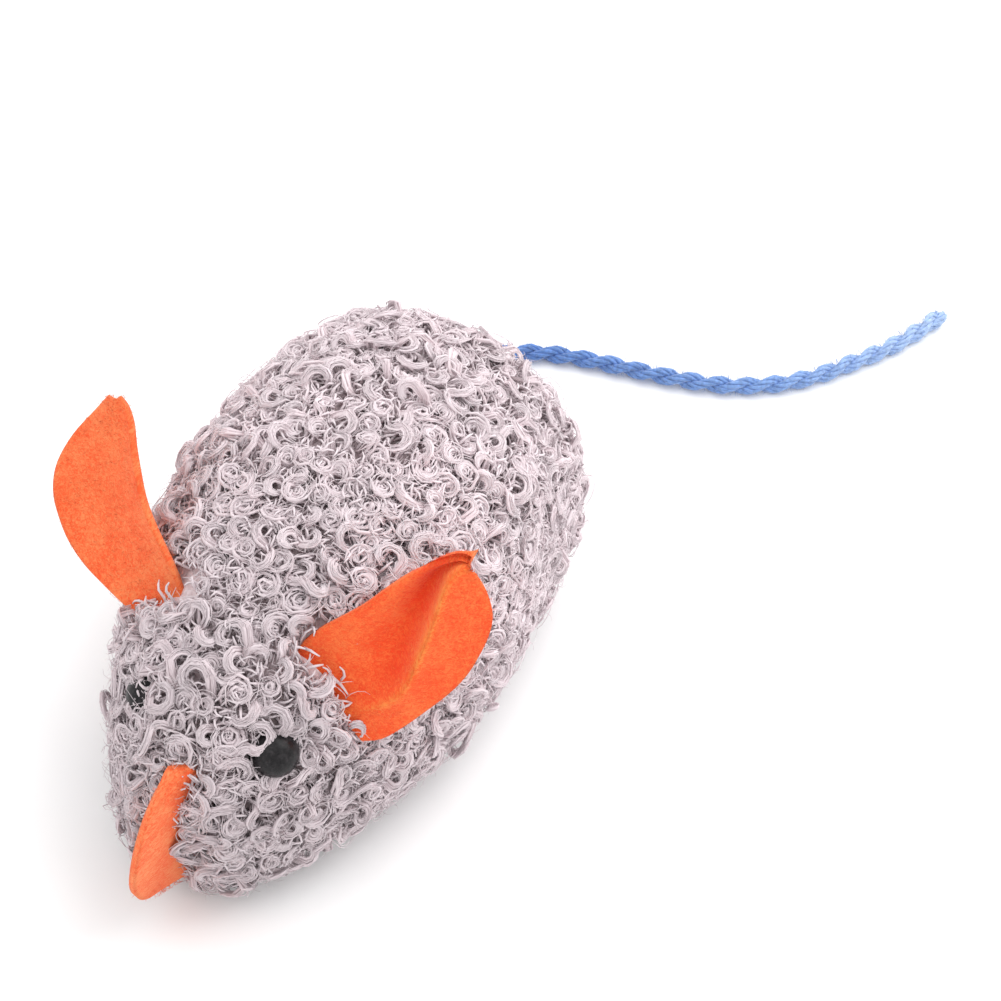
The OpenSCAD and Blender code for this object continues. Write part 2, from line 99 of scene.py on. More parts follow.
def between_rows(rows, t):
    """Catmull-Rom through evenly spaced rows, for t from 0 to 1."""
    last = len(rows) - 1
    s = min(max(t, 0), 1) * last
    i = min(int(s), last - 1)
    f = s - i
    before, start, end, after = (Vector(rows[min(max(k, 0), last)]) for k in range(i - 1, i + 3))
    swing = 3 * (start - end) + after - before
    return start + 0.5 * f * (end - before + f * (2 * before - 5 * start + 4 * end - after + f * swing))


def follow(route, step):
    """Points a fixed step apart along a route."""
    fine = [between_rows(route, i / route_steps) for i in range(route_steps + 1)]
    points = [fine[0]]
    left = step
    for a, b in zip(fine, fine[1:]):
        left -= (b - a).length
        if left <= 0:
            points.append(b)
            left += step
    return points


def ways(points):
    """The direction of travel at each point."""
    last = len(points) - 1
    return [(points[min(i + 1, last)] - points[max(i - 1, 0)]).normalized() for i in range(last + 1)]


def sweep(bm, centres, radii, sides, shade):
    """A closed thin tube through the centres. Its UV holds the place along it and its own shade."""
    strand_map = bm.loops.layers.uv.verify()
    place = {}
    ring = bmesh.ops.create_circle(bm, cap_ends=True, segments=sides, radius=1)["verts"]
    edges = list({e for v in ring for e in v.link_edges})
    side = Vector((0, 0, 1)) if abs(ways(centres)[0].z) < 0.9 else Vector((1, 0, 0))
    old = Matrix.Identity(4)
    for i, (centre, way) in enumerate(zip(centres, ways(centres))):
        side = (side - side.dot(way) * way).normalized()
        new = Matrix((side * radii[i], way.cross(side) * radii[i], way)).transposed().to_4x4()
        new.translation = centre
        if i:
            grown = bmesh.ops.extrude_edge_only(bm, edges=edges)["geom"]
            ring = [g for g in grown if isinstance(g, bmesh.types.BMVert)]
            edges = [g for g in grown if isinstance(g, bmesh.types.BMEdge)]
        bmesh.ops.transform(bm, matrix=new @ old.inverted(), verts=ring)
        old = new
        for v in ring:
            place[v] = i / (len(centres) - 1)
    bmesh.ops.contextual_create(bm, geom=edges)
    for face in {f for v in place for f in v.link_faces}:
        face.smooth = True
        for loop in face.loops:
            loop[strand_map].uv = (place[loop.vert], shade)


def piece_from(bm, name, material, body="mouse"):
    """The finished mesh as a piece of its own that rides on a body."""
    mesh = bpy.data.meshes.new(name)
    bm.to_mesh(mesh)
    bm.free()
    mesh.materials.append(material)
    piece = bpy.data.objects.new(name, mesh)
    scene.collection.objects.link(piece)
    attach(piece, body)
    return piece


def new_finish(name):
    """A new material, its node tree and its Principled shader."""
    finish = bpy.data.materials.new(name)
    finish.use_nodes = True
    tree = finish.node_tree
    shader = next(n for n in tree.nodes if n.type == "BSDF_PRINCIPLED")
    return finish, tree, shader


def set_sockets(node, **values):
    """Sets input sockets by name, with spaces written as underscores."""
    for name, value in values.items():
        node.inputs[name.replace("_", " ")].default_value = value


def ramp(tree, stops):
    """A colour ramp with these (place, colour) stops."""
    node = tree.nodes.new("ShaderNodeValToRGB")
    band = node.color_ramp.elements
    while len(band) < len(stops):
        band.new(0.5)
    for element, (place, colour) in zip(band, stops):
        element.position = place
        element.color = (*colour, 1)
    return node


tail_cotton, tree, shader = new_finish("tail_cotton")
set_sockets(shader, Roughness=0.85, Sheen_Weight=0.35, Sheen_Roughness=0.5)
strand = tree.nodes.new("ShaderNodeUVMap")
strand.uv_map = "strand"
split = tree.nodes.new("ShaderNodeSeparateXYZ")
dye = ramp(tree, [(0.0, (0.09, 0.19, 0.50)), (0.42, (0.11, 0.23, 0.55)), (0.72, (0.20, 0.34, 0.66)),
                  (1.0, (0.40, 0.54, 0.80))])
place = tree.nodes.new("ShaderNodeTexCoord")
flecks = tree.nodes.new("ShaderNodeTexNoise")
set_sockets(flecks, Scale=1500, Detail=3, Roughness=0.6)
uneven = tree.nodes.new("ShaderNodeMapRange")
set_sockets(uneven, From_Min=0.3, From_Max=0.7, To_Min=0.72, To_Max=1.22)
tint = tree.nodes.new("ShaderNodeVectorMath")
tint.operation = "SCALE"
fluff = tree.nodes.new("ShaderNodeBump")
set_sockets(fluff, Strength=0.5, Distance=0.0001)
tree.links.new(strand.outputs["UV"], split.inputs["Vector"])
tree.links.new(split.outputs["X"], dye.inputs["Fac"])
tree.links.new(place.outputs["Object"], flecks.inputs["Vector"])
tree.links.new(flecks.outputs["Fac"], uneven.inputs["Value"])
tree.links.new(dye.outputs["Color"], tint.inputs[0])
tree.links.new(uneven.outputs["Result"], tint.inputs["Scale"])
tree.links.new(tint.outputs["Vector"], shader.inputs["Base Color"])
tree.links.new(flecks.outputs["Fac"], fluff.inputs["Height"])
tree.links.new(fluff.outputs["Normal"], shader.inputs["Normal"])


def mesh_of(bm, name):
    """A small mesh to be repeated, with its faces turned outwards."""
    bmesh.ops.recalc_face_normals(bm, faces=bm.faces)
    mesh = bpy.data.meshes.new(name)
    bm.to_mesh(mesh)
    bm.free()
    return mesh


def new_strands():
    """An empty bmesh whose UV map is the strand map."""
    bm = bmesh.new()
    bm.loops.layers.uv.new("strand")
    return bm


def add_copy(bm, mesh, matrix):
    """Adds a moved copy of a mesh."""
    moved = mesh.copy()
    moved.transform(matrix)
    bm.from_mesh(moved)
    bpy.data.meshes.remove(moved)


def master_hair(seed, length, radius):
    """One bent hair that stands on the origin along +Z."""
    dice = random.Random(seed)
    bend = Vector((dice.uniform(-0.4, 0.4), dice.uniform(-0.4, 0.4), 0.5)) * length
    tip = Vector((dice.uniform(-0.8, 0.8), dice.uniform(-0.8, 0.8), 0.8)) * length
    bm = new_strands()
    centres = [Vector((0, 0, -0.3 * length)), bend, tip]
    sweep(bm, centres, [radius, radius * 0.8, radius * 0.3], 3, dice.random())
    return mesh_of(bm, "hair")


def stand_on(point, out, dice, size=1.0):
    """A matrix that stands something on a surface, turned at random about the way out."""
    turn = Matrix.Rotation(dice.uniform(0, math.tau), 4, "Z")
    stand = out.to_track_quat("Z", "Y").to_matrix().to_4x4()
    return Matrix.Translation(point) @ stand @ turn @ Matrix.Scale(size, 4)


middle = follow(tail_route, tail_step)
tail_dice = random.Random(11)
tail_bm = new_strands()
across = []
for way in ways(middle):
    side = way.cross(Vector((0, 0, 1))).normalized()
    across.append((side, side.cross(way)))
for ply in range(2):
    for yarn in range(yarns_per_ply):
        centres = []
        for i, point in enumerate(middle):
            turn = math.tau * (i * tail_step / ply_pitch + ply / 2)
            twist = math.tau * (yarn / yarns_per_ply - i * tail_step / yarn_pitch)
            side, rise = across[i]
            out = math.cos(turn) * side + math.sin(turn) * rise
            over = math.cos(turn) * rise - math.sin(turn) * side
            offset = ply_offset * out + yarn_offset * (math.cos(twist) * out + math.sin(twist) * over)
            wobble = Vector([tail_dice.uniform(-1, 1) for _ in range(3)]) * yarn_wobble
            centres.append(point + offset + wobble)
        radii = [yarn_radius * tail_dice.uniform(0.93, 1.07) for _ in centres]
        yarn_bm = new_strands()
        sweep(yarn_bm, centres, radii, 5, yarn / yarns_per_ply)
        tail_bm.from_mesh(mesh_of(yarn_bm, "yarn"))
tail_hairs = [master_hair(60 + k, tail_hair_length, tail_hair_radius) for k in range(6)]
for _ in range(tail_hair_count):
    i = tail_dice.randrange(30, len(middle))
    side, rise = across[i]
    angle = tail_dice.uniform(-0.4, math.pi + 0.4)
    out = math.cos(angle) * side + math.sin(angle) * rise
    root = middle[i] + tail_hair_root * out
    add_copy(tail_bm, tail_dice.choice(tail_hairs), stand_on(root, out, tail_dice))
for v in tail_bm.verts:
    v.co.z = max(v.co.z, tail_lift)
tail_rope = piece_from(tail_bm, "tail_rope", tail_cotton)
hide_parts("tail")
tail_length = sum((b - a).length for a, b in zip(middle, middle[1:]))
[tuple(p) for p in middle[::8]]


# ---------- floor and light ----------
# A pale studio table in a soft even surround, under two large soft lamps, the stronger one behind the mouse.
floor_half_width = 2.5
surround_strength = 1.08
lamp_size = 0.9
lamp_aim = Vector((0, 0, 0.02))

floor_material, tree, shader = new_finish("floor_paper")
set_sockets(shader, Roughness=0.9)
place = tree.nodes.new("ShaderNodeTexCoord")
mottle = tree.nodes.new("ShaderNodeTexNoise")
set_sockets(mottle, Scale=40, Detail=2)
paper = ramp(tree, [(0.0, (0.93, 0.93, 0.93)), (1.0, (0.95, 0.95, 0.95))])
tree.links.new(place.outputs["Object"], mottle.inputs["Vector"])
tree.links.new(mottle.outputs["Fac"], paper.inputs["Fac"])
tree.links.new(paper.outputs["Color"], shader.inputs["Base Color"])
floor_bm = bmesh.new()
bmesh.ops.create_grid(floor_bm, x_segments=2, y_segments=2, size=floor_half_width)
floor_mesh = bpy.data.meshes.new("floor")
floor_bm.to_mesh(floor_mesh)
floor_bm.free()
floor_mesh.materials.append(floor_material)
floor = bpy.data.objects.new("floor", floor_mesh)
scene.collection.objects.link(floor)

surround = bpy.data.worlds.new("surround")
scene.world = surround
surround.use_nodes = True
surround.node_tree.nodes["Background"].inputs["Color"].default_value = (1.0, 1.0, 1.0, 1)
surround.node_tree.nodes["Background"].inputs["Strength"].default_value = surround_strength


def soft_lamp(name, at, watts):
    """A square lamp that faces the mouse."""
    data = bpy.data.lights.new(name, "AREA")
    data.size = lamp_size
    data.energy = watts
    lamp = bpy.data.objects.new(name, data)
    scene.collection.objects.link(lamp)
    lamp.location = at
    lamp.rotation_euler = (Vector(at) - lamp_aim).to_track_quat("Z", "Y").to_euler()


soft_lamp("lamp_behind", (0.30, 0.50, 0.75), 5.5)
soft_lamp("lamp_front", (-0.45, -0.45, 0.60), 0.8)


# ---------- plush cover: backing ----------
# Knitted backing of the curly plush, drawn over the moulded shell and glued round the base plate.
# It shows only as the ground between the curls, its colour painted darker there as shade, and darker still in
# the hollows between its tufts.
body_front = -0.0425
body_rear = 0.0505
body_rows = [
    (0, 0.022, 0.022), (0.0094, 0.0293, 0.0044), (0.0174, 0.0388, 0.0032), (0.0242, 0.0452, 0.002),
    (0.0282, 0.0508, 0.002), (0.0281, 0.0524, 0.002), (0.0258, 0.049, 0.0022), (0.0216, 0.0435, 0.004),
    (0, 0.024, 0.024),
]
top_power = 2.2
low_power = 3.4
waist = 0.4
backing_depth = 0.0031
backing_thickness = 0.0008
opening_height = 0.006
opening_lip = 0.006
cutter_height = 0.011
cutter_roof = 0.0085
roof_face_area = 0.0003
key_at = Vector((-0.0285, 0.024, 0.0155))
key_room = 0.0087


def section_point(u, angle):
    """A point of the outer surface: u runs from the nose to the rear, the angle round the section."""
    half, top, bottom = between_rows(body_rows, u)
    level = bottom + waist * (top - bottom)
    rises = math.sin(angle) > 0
    power = top_power if rises else low_power
    reach = top - level if rises else level - bottom
    y = body_front + (body_rear - body_front) * (1 - math.cos(math.pi * u)) / 2
    x = half * math.copysign(abs(math.cos(angle)) ** (2 / power), math.cos(angle))
    z = level + reach * math.copysign(abs(math.sin(angle)) ** (2 / power), math.sin(angle))
    return Vector((x, y, z))


def body_point(u, angle):
    """A point of the outer surface and the way out of the body there."""
    if u < 0.006:
        return Vector((0, body_front, body_rows[0][1])), Vector((0, -1, 0))
    if u > 0.994:
        return Vector((0, body_rear, body_rows[-1][1])), Vector((0, 1, 0))
    along = section_point(u + 0.004, angle) - section_point(u - 0.004, angle)
    around = section_point(u, angle + 0.03) - section_point(u, angle - 0.03)
    return section_point(u, angle), along.cross(around).normalized()


def half_width(u, z):
    """Half the width of the body at height z, below its widest line."""
    half, top, bottom = between_rows(body_rows, u)
    level = bottom + waist * (top - bottom)
    drop = min((level - z) / (level - bottom), 1)
    return half * (1 - drop ** low_power) ** (1 / low_power)


def opening_edge():
    """The outline of the opening in the underside, as x and y."""
    side = []
    for i in range(17):
        u = 0.18 + 0.0375 * i
        y = body_front + (body_rear - body_front) * (1 - math.cos(math.pi * u)) / 2
        side.append((half_width(u, opening_height) - opening_lip, y))
    return side + [(-x, y) for x, y in reversed(side)]


backing_knit, tree, shader = new_finish("backing_knit")
set_sockets(shader, Roughness=0.95, Sheen_Weight=0.2)
place = tree.nodes.new("ShaderNodeTexCoord")
tufts = tree.nodes.new("ShaderNodeTexVoronoi")
set_sockets(tufts, Scale=900)
# Painted shade: the knit is coloured darker than the curls as shade between them, and darker again in the
# hollows between its tufts, where the bump is lowest.
tuft_tone_and_shade = ramp(tree, [(0.0, (0.84, 0.72, 0.74)), (0.7, (0.64, 0.52, 0.54))])
tuft_bump = tree.nodes.new("ShaderNodeBump")
set_sockets(tuft_bump, Strength=0.9, Distance=0.0004)
tree.links.new(place.outputs["Object"], tufts.inputs["Vector"])
tree.links.new(tufts.outputs["Distance"], tuft_tone_and_shade.inputs["Fac"])
tree.links.new(tuft_tone_and_shade.outputs["Color"], shader.inputs["Base Color"])
tree.links.new(tufts.outputs["Distance"], tuft_bump.inputs["Height"])
tree.links.new(tuft_bump.outputs["Normal"], shader.inputs["Normal"])
tuft_bump.invert = True

backing_bm = bmesh.new()
bmesh.ops.create_uvsphere(backing_bm, u_segments=80, v_segments=56, radius=1)
for v in backing_bm.verts:
    point, out = body_point(math.acos(min(max(v.co.z, -1), 1)) / math.pi, math.atan2(v.co.y, v.co.x))
    v.co = point - backing_depth * out
bmesh.ops.recalc_face_normals(backing_bm, faces=backing_bm.faces)
for face in backing_bm.faces:
    face.smooth = True
backing = piece_from(backing_bm, "plush_backing", backing_knit)

cutter_bm = bmesh.new()
corners = [cutter_bm.verts.new((x, y, -0.001)) for x, y in opening_edge()]
floor_face = cutter_bm.faces.new(corners)
raised = bmesh.ops.extrude_face_region(cutter_bm, geom=[floor_face])["geom"]
raised_verts = [g for g in raised if isinstance(g, bmesh.types.BMVert)]
bmesh.ops.translate(cutter_bm, vec=(0, 0, cutter_height), verts=raised_verts)
bmesh.ops.recalc_face_normals(cutter_bm, faces=cutter_bm.faces)
cutter_mesh = bpy.data.meshes.new("opening_cutter")
cutter_bm.to_mesh(cutter_mesh)
cutter_bm.free()
cutter = bpy.data.objects.new("opening_cutter", cutter_mesh)
scene.collection.objects.link(cutter)
cut = backing.modifiers.new("opening", "BOOLEAN")
cut.object = cutter
cut.operation = "DIFFERENCE"
cut.solver = "EXACT"
bpy.context.view_layer.update()
opened = bpy.data.meshes.new_from_object(backing.evaluated_get(bpy.context.evaluated_depsgraph_get()))
backing.modifiers.remove(cut)
backing.data = opened
bpy.data.objects.remove(cutter)
backing_bm = bmesh.new()
backing_bm.from_mesh(opened)
inner = [f for f in backing_bm.faces if f.calc_center_median().z > cutter_roof
         and f.normal.z < -0.99 and f.calc_area() > roof_face_area]
bmesh.ops.delete(backing_bm, geom=inner, context="FACES")
bmesh.ops.solidify(backing_bm, geom=backing_bm.faces, thickness=backing_thickness)
bmesh.ops.recalc_face_normals(backing_bm, faces=backing_bm.faces)
backing_bm.to_mesh(opened)
backing_bm.free()
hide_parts("fur_cover")


# ---------- plush cover: curls ----------
# Locks of acrylic yarn and fibre set close in the backing and steamed into small curls, over a short dense
# nap, with single hairs come loose on top. Pale mauve-grey, redder at the root. Painted shade darkens the
# colour towards the face, and the thick yarns under the curls are painted darker as shade, the single fibres
# over them lighter as highlights.
fibre_radius = 0.000075
core_radius = 0.00025
root_depth = 0.0026
lock_height = 0.0028
lock_spacing = 0.0028
lock_tries = 30000
locks_per_piece = 150
lock_nose_room = 0.003
nap_depth = 0.0027
nap_spacing = 0.00225
nap_tries = 20000
naps_per_piece = 390
nap_sink = 0.0003
short_nose_room = 0.001
wisp_radius = 0.00006
wisp_length = 0.0032
wisp_spacing = 0.0038
wisp_tries = 6000
wisps_per_piece = 2000
left_eye_room = 0.0036
seam_half_length = 0.0098
seam_half_height = 0.0065
seam_back_room = 0.0055
left_seam_room = 0.0028
right_seam_room = 0.002
tail_room = 0.0026
curl_floor = 0.0003
ear_root = Vector((0.0155, -0.0173, 0.0355))
ear_up = Vector((0.52, 0.5, 0.68)).normalized()
ear_across = Vector((0.012, -0.0001, -0.0135))
ear_across = (ear_across - ear_across.dot(ear_up) * ear_up).normalized()
ear_normal = ear_across.cross(ear_up)
eye_at = Vector((0.012, -0.0307, 0.0316))
eye_out = Vector((0.62, -0.58, 0.53)).normalized()

plush_fibre, tree, shader = new_finish("plush_fibre")
set_sockets(shader, Roughness=0.6, Sheen_Weight=0.15, Sheen_Roughness=0.5, Specular_IOR_Level=0.2)
strand = tree.nodes.new("ShaderNodeUVMap")
strand.uv_map = "strand"
split = tree.nodes.new("ShaderNodeSeparateXYZ")
root_to_tip = ramp(tree, [(0.0, (0.76, 0.635, 0.66)), (0.2, (0.77, 0.66, 0.69)),
                          (0.5, (0.76, 0.665, 0.695)), (1.0, (0.77, 0.685, 0.715))])
place = tree.nodes.new("ShaderNodeTexCoord")
patches = tree.nodes.new("ShaderNodeTexNoise")
set_sockets(patches, Scale=130, Detail=2)
patch_range = tree.nodes.new("ShaderNodeMapRange")
set_sockets(patch_range, From_Min=0.3, From_Max=0.7, To_Min=0.92, To_Max=1.06)
fibre_tone_and_shade = tree.nodes.new("ShaderNodeMapRange")
set_sockets(fibre_tone_and_shade, To_Min=0.93, To_Max=1.06)
both = tree.nodes.new("ShaderNodeMath")
both.operation = "MULTIPLY"
tint = tree.nodes.new("ShaderNodeVectorMath")
tint.operation = "SCALE"
tree.links.new(strand.outputs["UV"], split.inputs["Vector"])
tree.links.new(split.outputs["X"], root_to_tip.inputs["Fac"])
tree.links.new(place.outputs["Object"], patches.inputs["Vector"])
tree.links.new(patches.outputs["Fac"], patch_range.inputs["Value"])
tree.links.new(split.outputs["Y"], fibre_tone_and_shade.inputs["Value"])
# Painted shade: the fibres' colour darkens steadily towards the face, from just behind the middle of the back
# to the nose.
face_shade_split = tree.nodes.new("ShaderNodeSeparateXYZ")
face_shade_range = tree.nodes.new("ShaderNodeMapRange")
set_sockets(face_shade_range, From_Min=-0.042, From_Max=0.010, To_Min=0.86, To_Max=1.04)
painted_face_shade = tree.nodes.new("ShaderNodeMath")
painted_face_shade.operation = "MULTIPLY"
tree.links.new(place.outputs["Object"], face_shade_split.inputs["Vector"])
tree.links.new(face_shade_split.outputs["Y"], face_shade_range.inputs["Value"])
tree.links.new(patch_range.outputs["Result"], painted_face_shade.inputs[0])
tree.links.new(face_shade_range.outputs["Result"], painted_face_shade.inputs[1])
tree.links.new(painted_face_shade.outputs["Value"], both.inputs[0])
tree.links.new(fibre_tone_and_shade.outputs["Result"], both.inputs[1])
tree.links.new(root_to_tip.outputs["Color"], tint.inputs[0])
tree.links.new(both.outputs["Value"], tint.inputs["Scale"])
tree.links.new(tint.outputs["Vector"], shader.inputs["Base Color"])


def ease(t):
    """From 0 to 1 with soft ends."""
    t = min(max(t, 0), 1)
    return t * t * (3 - 2 * t)


def add_strand(bm, centres, core, dice):
    """A strand of a curl, tapered to its tip: a thick yarn of the core, darker as painted shade, or a single
    fibre, lighter as a painted highlight.
    """
    thick = core_radius if core else fibre_radius
    last = len(centres) - 1
    radii = [thick * (1 - 0.6 * (i / last) ** 3) for i in range(last + 1)]
    # Painted shade and highlight: the core yarns lie under the fibres and get the darker tones, the fibres
    # over them the lighter ones.
    shade = dice.uniform(0.0, 0.5) if core else dice.uniform(0.3, 1.0)
    sweep(bm, centres, radii, 5 if core else 3, shade)


def master_swirl(seed, hand, radius, cores, fibres, steps):
    """A flat rosette: thick yarns on circles about one middle, with single fibres over them."""
    dice = random.Random(seed)
    start = dice.uniform(0, math.tau)
    bm = new_strands()
    for n in range(cores + fibres):
        core = n < cores
        stray = not core and dice.random() < 0.16
        orbit = (0.14 + 0.74 * n / (cores - 1)) if core else 0.12 + 0.88 * dice.random() ** 0.7
        orbit += 0.28 if stray else 0
        turns = dice.uniform(0.75, 0.95) if core else dice.uniform(0.35, 0.9)
        begin = start + dice.uniform(-1.2, 1.2) if core else start + dice.uniform(-2.2, 2.2)
        lift = -0.0005 * (1 - orbit) + (0 if core else dice.uniform(0.0, 0.00035))
        lift += 0.0004 if stray else 0
        sway = dice.uniform(0, math.tau)
        shift = Vector((dice.uniform(-1, 1), dice.uniform(-1, 1), 0)) * 0.00035
        centres = []
        for i in range(steps + 1):
            t = i / steps
            angle = begin + hand * math.tau * turns * t
            ring = radius * orbit * (1 - 0.24 * t) + 0.0002 * math.sin(sway + 5 * t)
            height = -root_depth + lock_height * ease(t / 0.3) + lift
            height += 0.00016 * math.cos(sway + 6 * t) - 0.0003 * t * t
            centres.append(Vector((ring * math.cos(angle), ring * math.sin(angle), height)) + shift)
        add_strand(bm, centres, core, dice)
    return mesh_of(bm, "swirl")


def master_hook(seed, hand, turns, radius, cores, fibres, steps):
    """A looser curl: yarns and fibres stay together in one band that bends round like a hook."""
    dice = random.Random(seed)
    start = dice.uniform(0, math.tau)
    bm = new_strands()
    for n in range(cores + fibres):
        core = n < cores
        aside = 1.4 * n / (cores - 1) - 0.7 if core else dice.uniform(-1.15, 1.15)
        above = 0.2 if core else 1.1 - 0.9 * aside * aside
        own_turns = turns * dice.uniform(0.82, 1.1)
        own_start = start + dice.uniform(-0.2, 0.2)
        sway = dice.uniform(0, math.tau)
        centres = []
        for i in range(steps + 1):
            t = i / steps
            angle = own_start + hand * math.tau * own_turns * t
            ring = radius * (1 - 0.5 * t ** 1.2) + 0.00075 * (1 - 0.3 * t) * aside
            ring += 0.0001 * math.sin(sway + 6 * t)
            height = -root_depth + lock_height * ease(t / 0.32) + 0.0005 * above * (1 - 0.3 * t)
            height += 0.0005 * math.sin(math.pi * t) - 0.0004 * t * t
            centres.append(Vector((ring * math.cos(angle), ring * math.sin(angle), height)))
        add_strand(bm, centres, core, dice)
    return mesh_of(bm, "hook")


def master_nap(seed, cores, fibres, steps):
    """A tuft of the short nap: yarns and fibres that wander close to the backing."""
    dice = random.Random(seed)
    bm = new_strands()
    for n in range(cores + fibres):
        core = n < cores
        at = Vector((dice.uniform(-0.0017, 0.0017), dice.uniform(-0.0017, 0.0017), -nap_depth))
        heading = dice.uniform(0, math.tau)
        bend = dice.uniform(-2.4, 2.4)
        reach = dice.uniform(0.0022, 0.0036)
        top = dice.uniform(0.0015, 0.0029)
        centres = []
        for i in range(steps + 1):
            t = i / steps
            way = heading + bend * t
            centres.append(at + Vector((0, 0, top * ease(t * 1.6))))
            at = at + Vector((math.cos(way), math.sin(way), 0)) * reach / steps
        thick = core_radius if core else fibre_radius
        radii = [thick * (1.05 - 0.6 * (i / steps) ** 2) for i in range(steps + 1)]
        sweep(bm, centres, radii, 4 if core else 3, dice.random())
    return mesh_of(bm, "nap")


def master_wisp(seed, hairs, steps):
    """A few single hairs that have come loose and stand off the curls."""
    dice = random.Random(seed)
    bm = new_strands()
    for _ in range(hairs):
        at = Vector((dice.uniform(-0.001, 0.001), dice.uniform(-0.001, 0.001), -0.001))
        heading = dice.uniform(0, math.tau)
        bend = dice.uniform(-3.0, 3.0)
        centres = []
        for i in range(steps + 1):
            t = i / steps
            centres.append(at.copy())
            way = heading + bend * t
            at = at + Vector((math.cos(way), math.sin(way), 1.1 * (1 - t))) * wisp_length / steps
        radii = [wisp_radius * (1 - 0.6 * (i / steps)) for i in range(steps + 1)]
        sweep(bm, centres, radii, 3, dice.random())
    return mesh_of(bm, "wisp")


hands = [1 if k % 2 else -1 for k in range(9)]
swirls = [master_swirl(20 + k, hands[k], 0.0018 + 0.0004 * (k % 4), 8, 12, 7) for k in range(9)]
hooks = [master_hook(40 + k, hands[k], 0.5 + 0.07 * k, 0.0018 + 0.0004 * (k % 3), 6, 16, 7) for k in range(7)]
naps = [master_nap(50 + k, 8, 4, 4) for k in range(6)]
wisps = [master_wisp(70 + k, 3, 4) for k in range(8)]


def over_opening(point):
    """True where the underside is open for the base plate."""
    if point.z > 0.0045:
        return False
    y = (point.y - body_front) / (body_rear - body_front)
    u = math.acos(1 - 2 * min(max(y, 0.001), 0.999)) / math.pi
    return 0.17 < u < 0.79 and abs(point.x) < half_width(u, opening_height) - opening_lip + 0.0012


def lock_fits(point, nose_room):
    """False where the plush is cut away or trimmed: opening, key pocket, left eye, ears, nose and tail."""
    from_ear = Vector((abs(point.x), point.y, point.z)) - ear_root
    front_room = left_seam_room if point.x > 0 else right_seam_room
    along_seam = abs(from_ear.dot(ear_across)) < seam_half_length
    near_seam = -seam_back_room < from_ear.dot(ear_normal) < front_room
    at_seam_height = abs(from_ear.dot(ear_up)) < seam_half_height
    by_nose = -0.001 < point.x < nose_room and point.y < -0.036 and 0.005 < point.z < 0.029
    key_gap = Vector((point.y - key_at.y, point.z - key_at.z)).length
    return not (
        over_opening(point)
        or (point.x < -0.02 and key_gap < key_room)
        or (point - eye_at).length < left_eye_room
        or (along_seam and near_seam and at_seam_height)
        or by_nose
        or (point - Vector(tail_exit)).length < tail_room
    )


def scatter(spacing, tries, nose_room, dice):
    """Spots spread evenly over the plush, no two closer than the spacing, from the nose to the rear."""
    cells = {}
    spots = []
    for _ in range(tries):
        u = math.acos(1 - 2 * dice.random()) / math.pi
        point, out = body_point(u, dice.uniform(0, math.tau))
        i, j, k = (int(c // spacing) for c in point)
        near = [q for a in (i - 1, i, i + 1) for b in (j - 1, j, j + 1) for c in (k - 1, k, k + 1)
                for q in cells.get((a, b, c), ())]
        if lock_fits(point, nose_room) and all((q - point).length > spacing for q in near):
            cells.setdefault((i, j, k), []).append(point)
            spots.append((point, out))
    return sorted(spots, key=lambda spot: spot[0].y)


def plant(spots, per_piece, name, choose):
    """Sets a curl or tuft on every spot, in pieces of a fair size."""
    for number, first in enumerate(range(0, len(spots), per_piece)):
        bm = new_strands()
        for point, out in spots[first:first + per_piece]:
            mesh, matrix = choose(point, out)
            add_copy(bm, mesh, matrix)
        for v in bm.verts:
            v.co.z = max(v.co.z, curl_floor)
        piece_from(bm, f"{name}_{number + 1:02d}", plush_fibre)


plush_dice = random.Random(5)


def choose_curl(point, out):
    """Rosettes and hooks at random, lying at different depths, a few of them wild."""
    wild = plush_dice.random() < 0.05 and point.z > 0.012
    hook = plush_dice.random() < 0.42
    tilt = 0.9 if wild else (0.6 if hook else 0.4)
    mesh = plush_dice.choice(hooks if hook else swirls)
    sink = plush_dice.uniform(0.0, 0.0009) - (0.0006 if wild else 0)
    tip = Matrix.Rotation(plush_dice.uniform(-tilt, tilt), 4, "X")
    return mesh, stand_on(point - sink * out, out, plush_dice, plush_dice.uniform(0.85, 1.15)) @ tip


def choose_nap(point, out):
    """Any tuft, a little deeper than the curls."""
    return plush_dice.choice(naps), stand_on(point - nap_sink * out, out, plush_dice)


def choose_wisp(point, out):
    """Any wisp, standing on the surface of the curls."""
    return plush_dice.choice(wisps), stand_on(point, out, plush_dice, plush_dice.uniform(0.7, 1.2))


lock_spots = scatter(lock_spacing, lock_tries, lock_nose_room, plush_dice)
plant(lock_spots, locks_per_piece, "plush_curls", choose_curl)
nap_spots = scatter(nap_spacing, nap_tries, short_nose_room, plush_dice)
plant(nap_spots, naps_per_piece, "plush_nap", choose_nap)
wisp_spots = scatter(wisp_spacing, wisp_tries, short_nose_room, plush_dice)
plant(wisp_spots, wisps_per_piece, "plush_fuzz", choose_wisp)


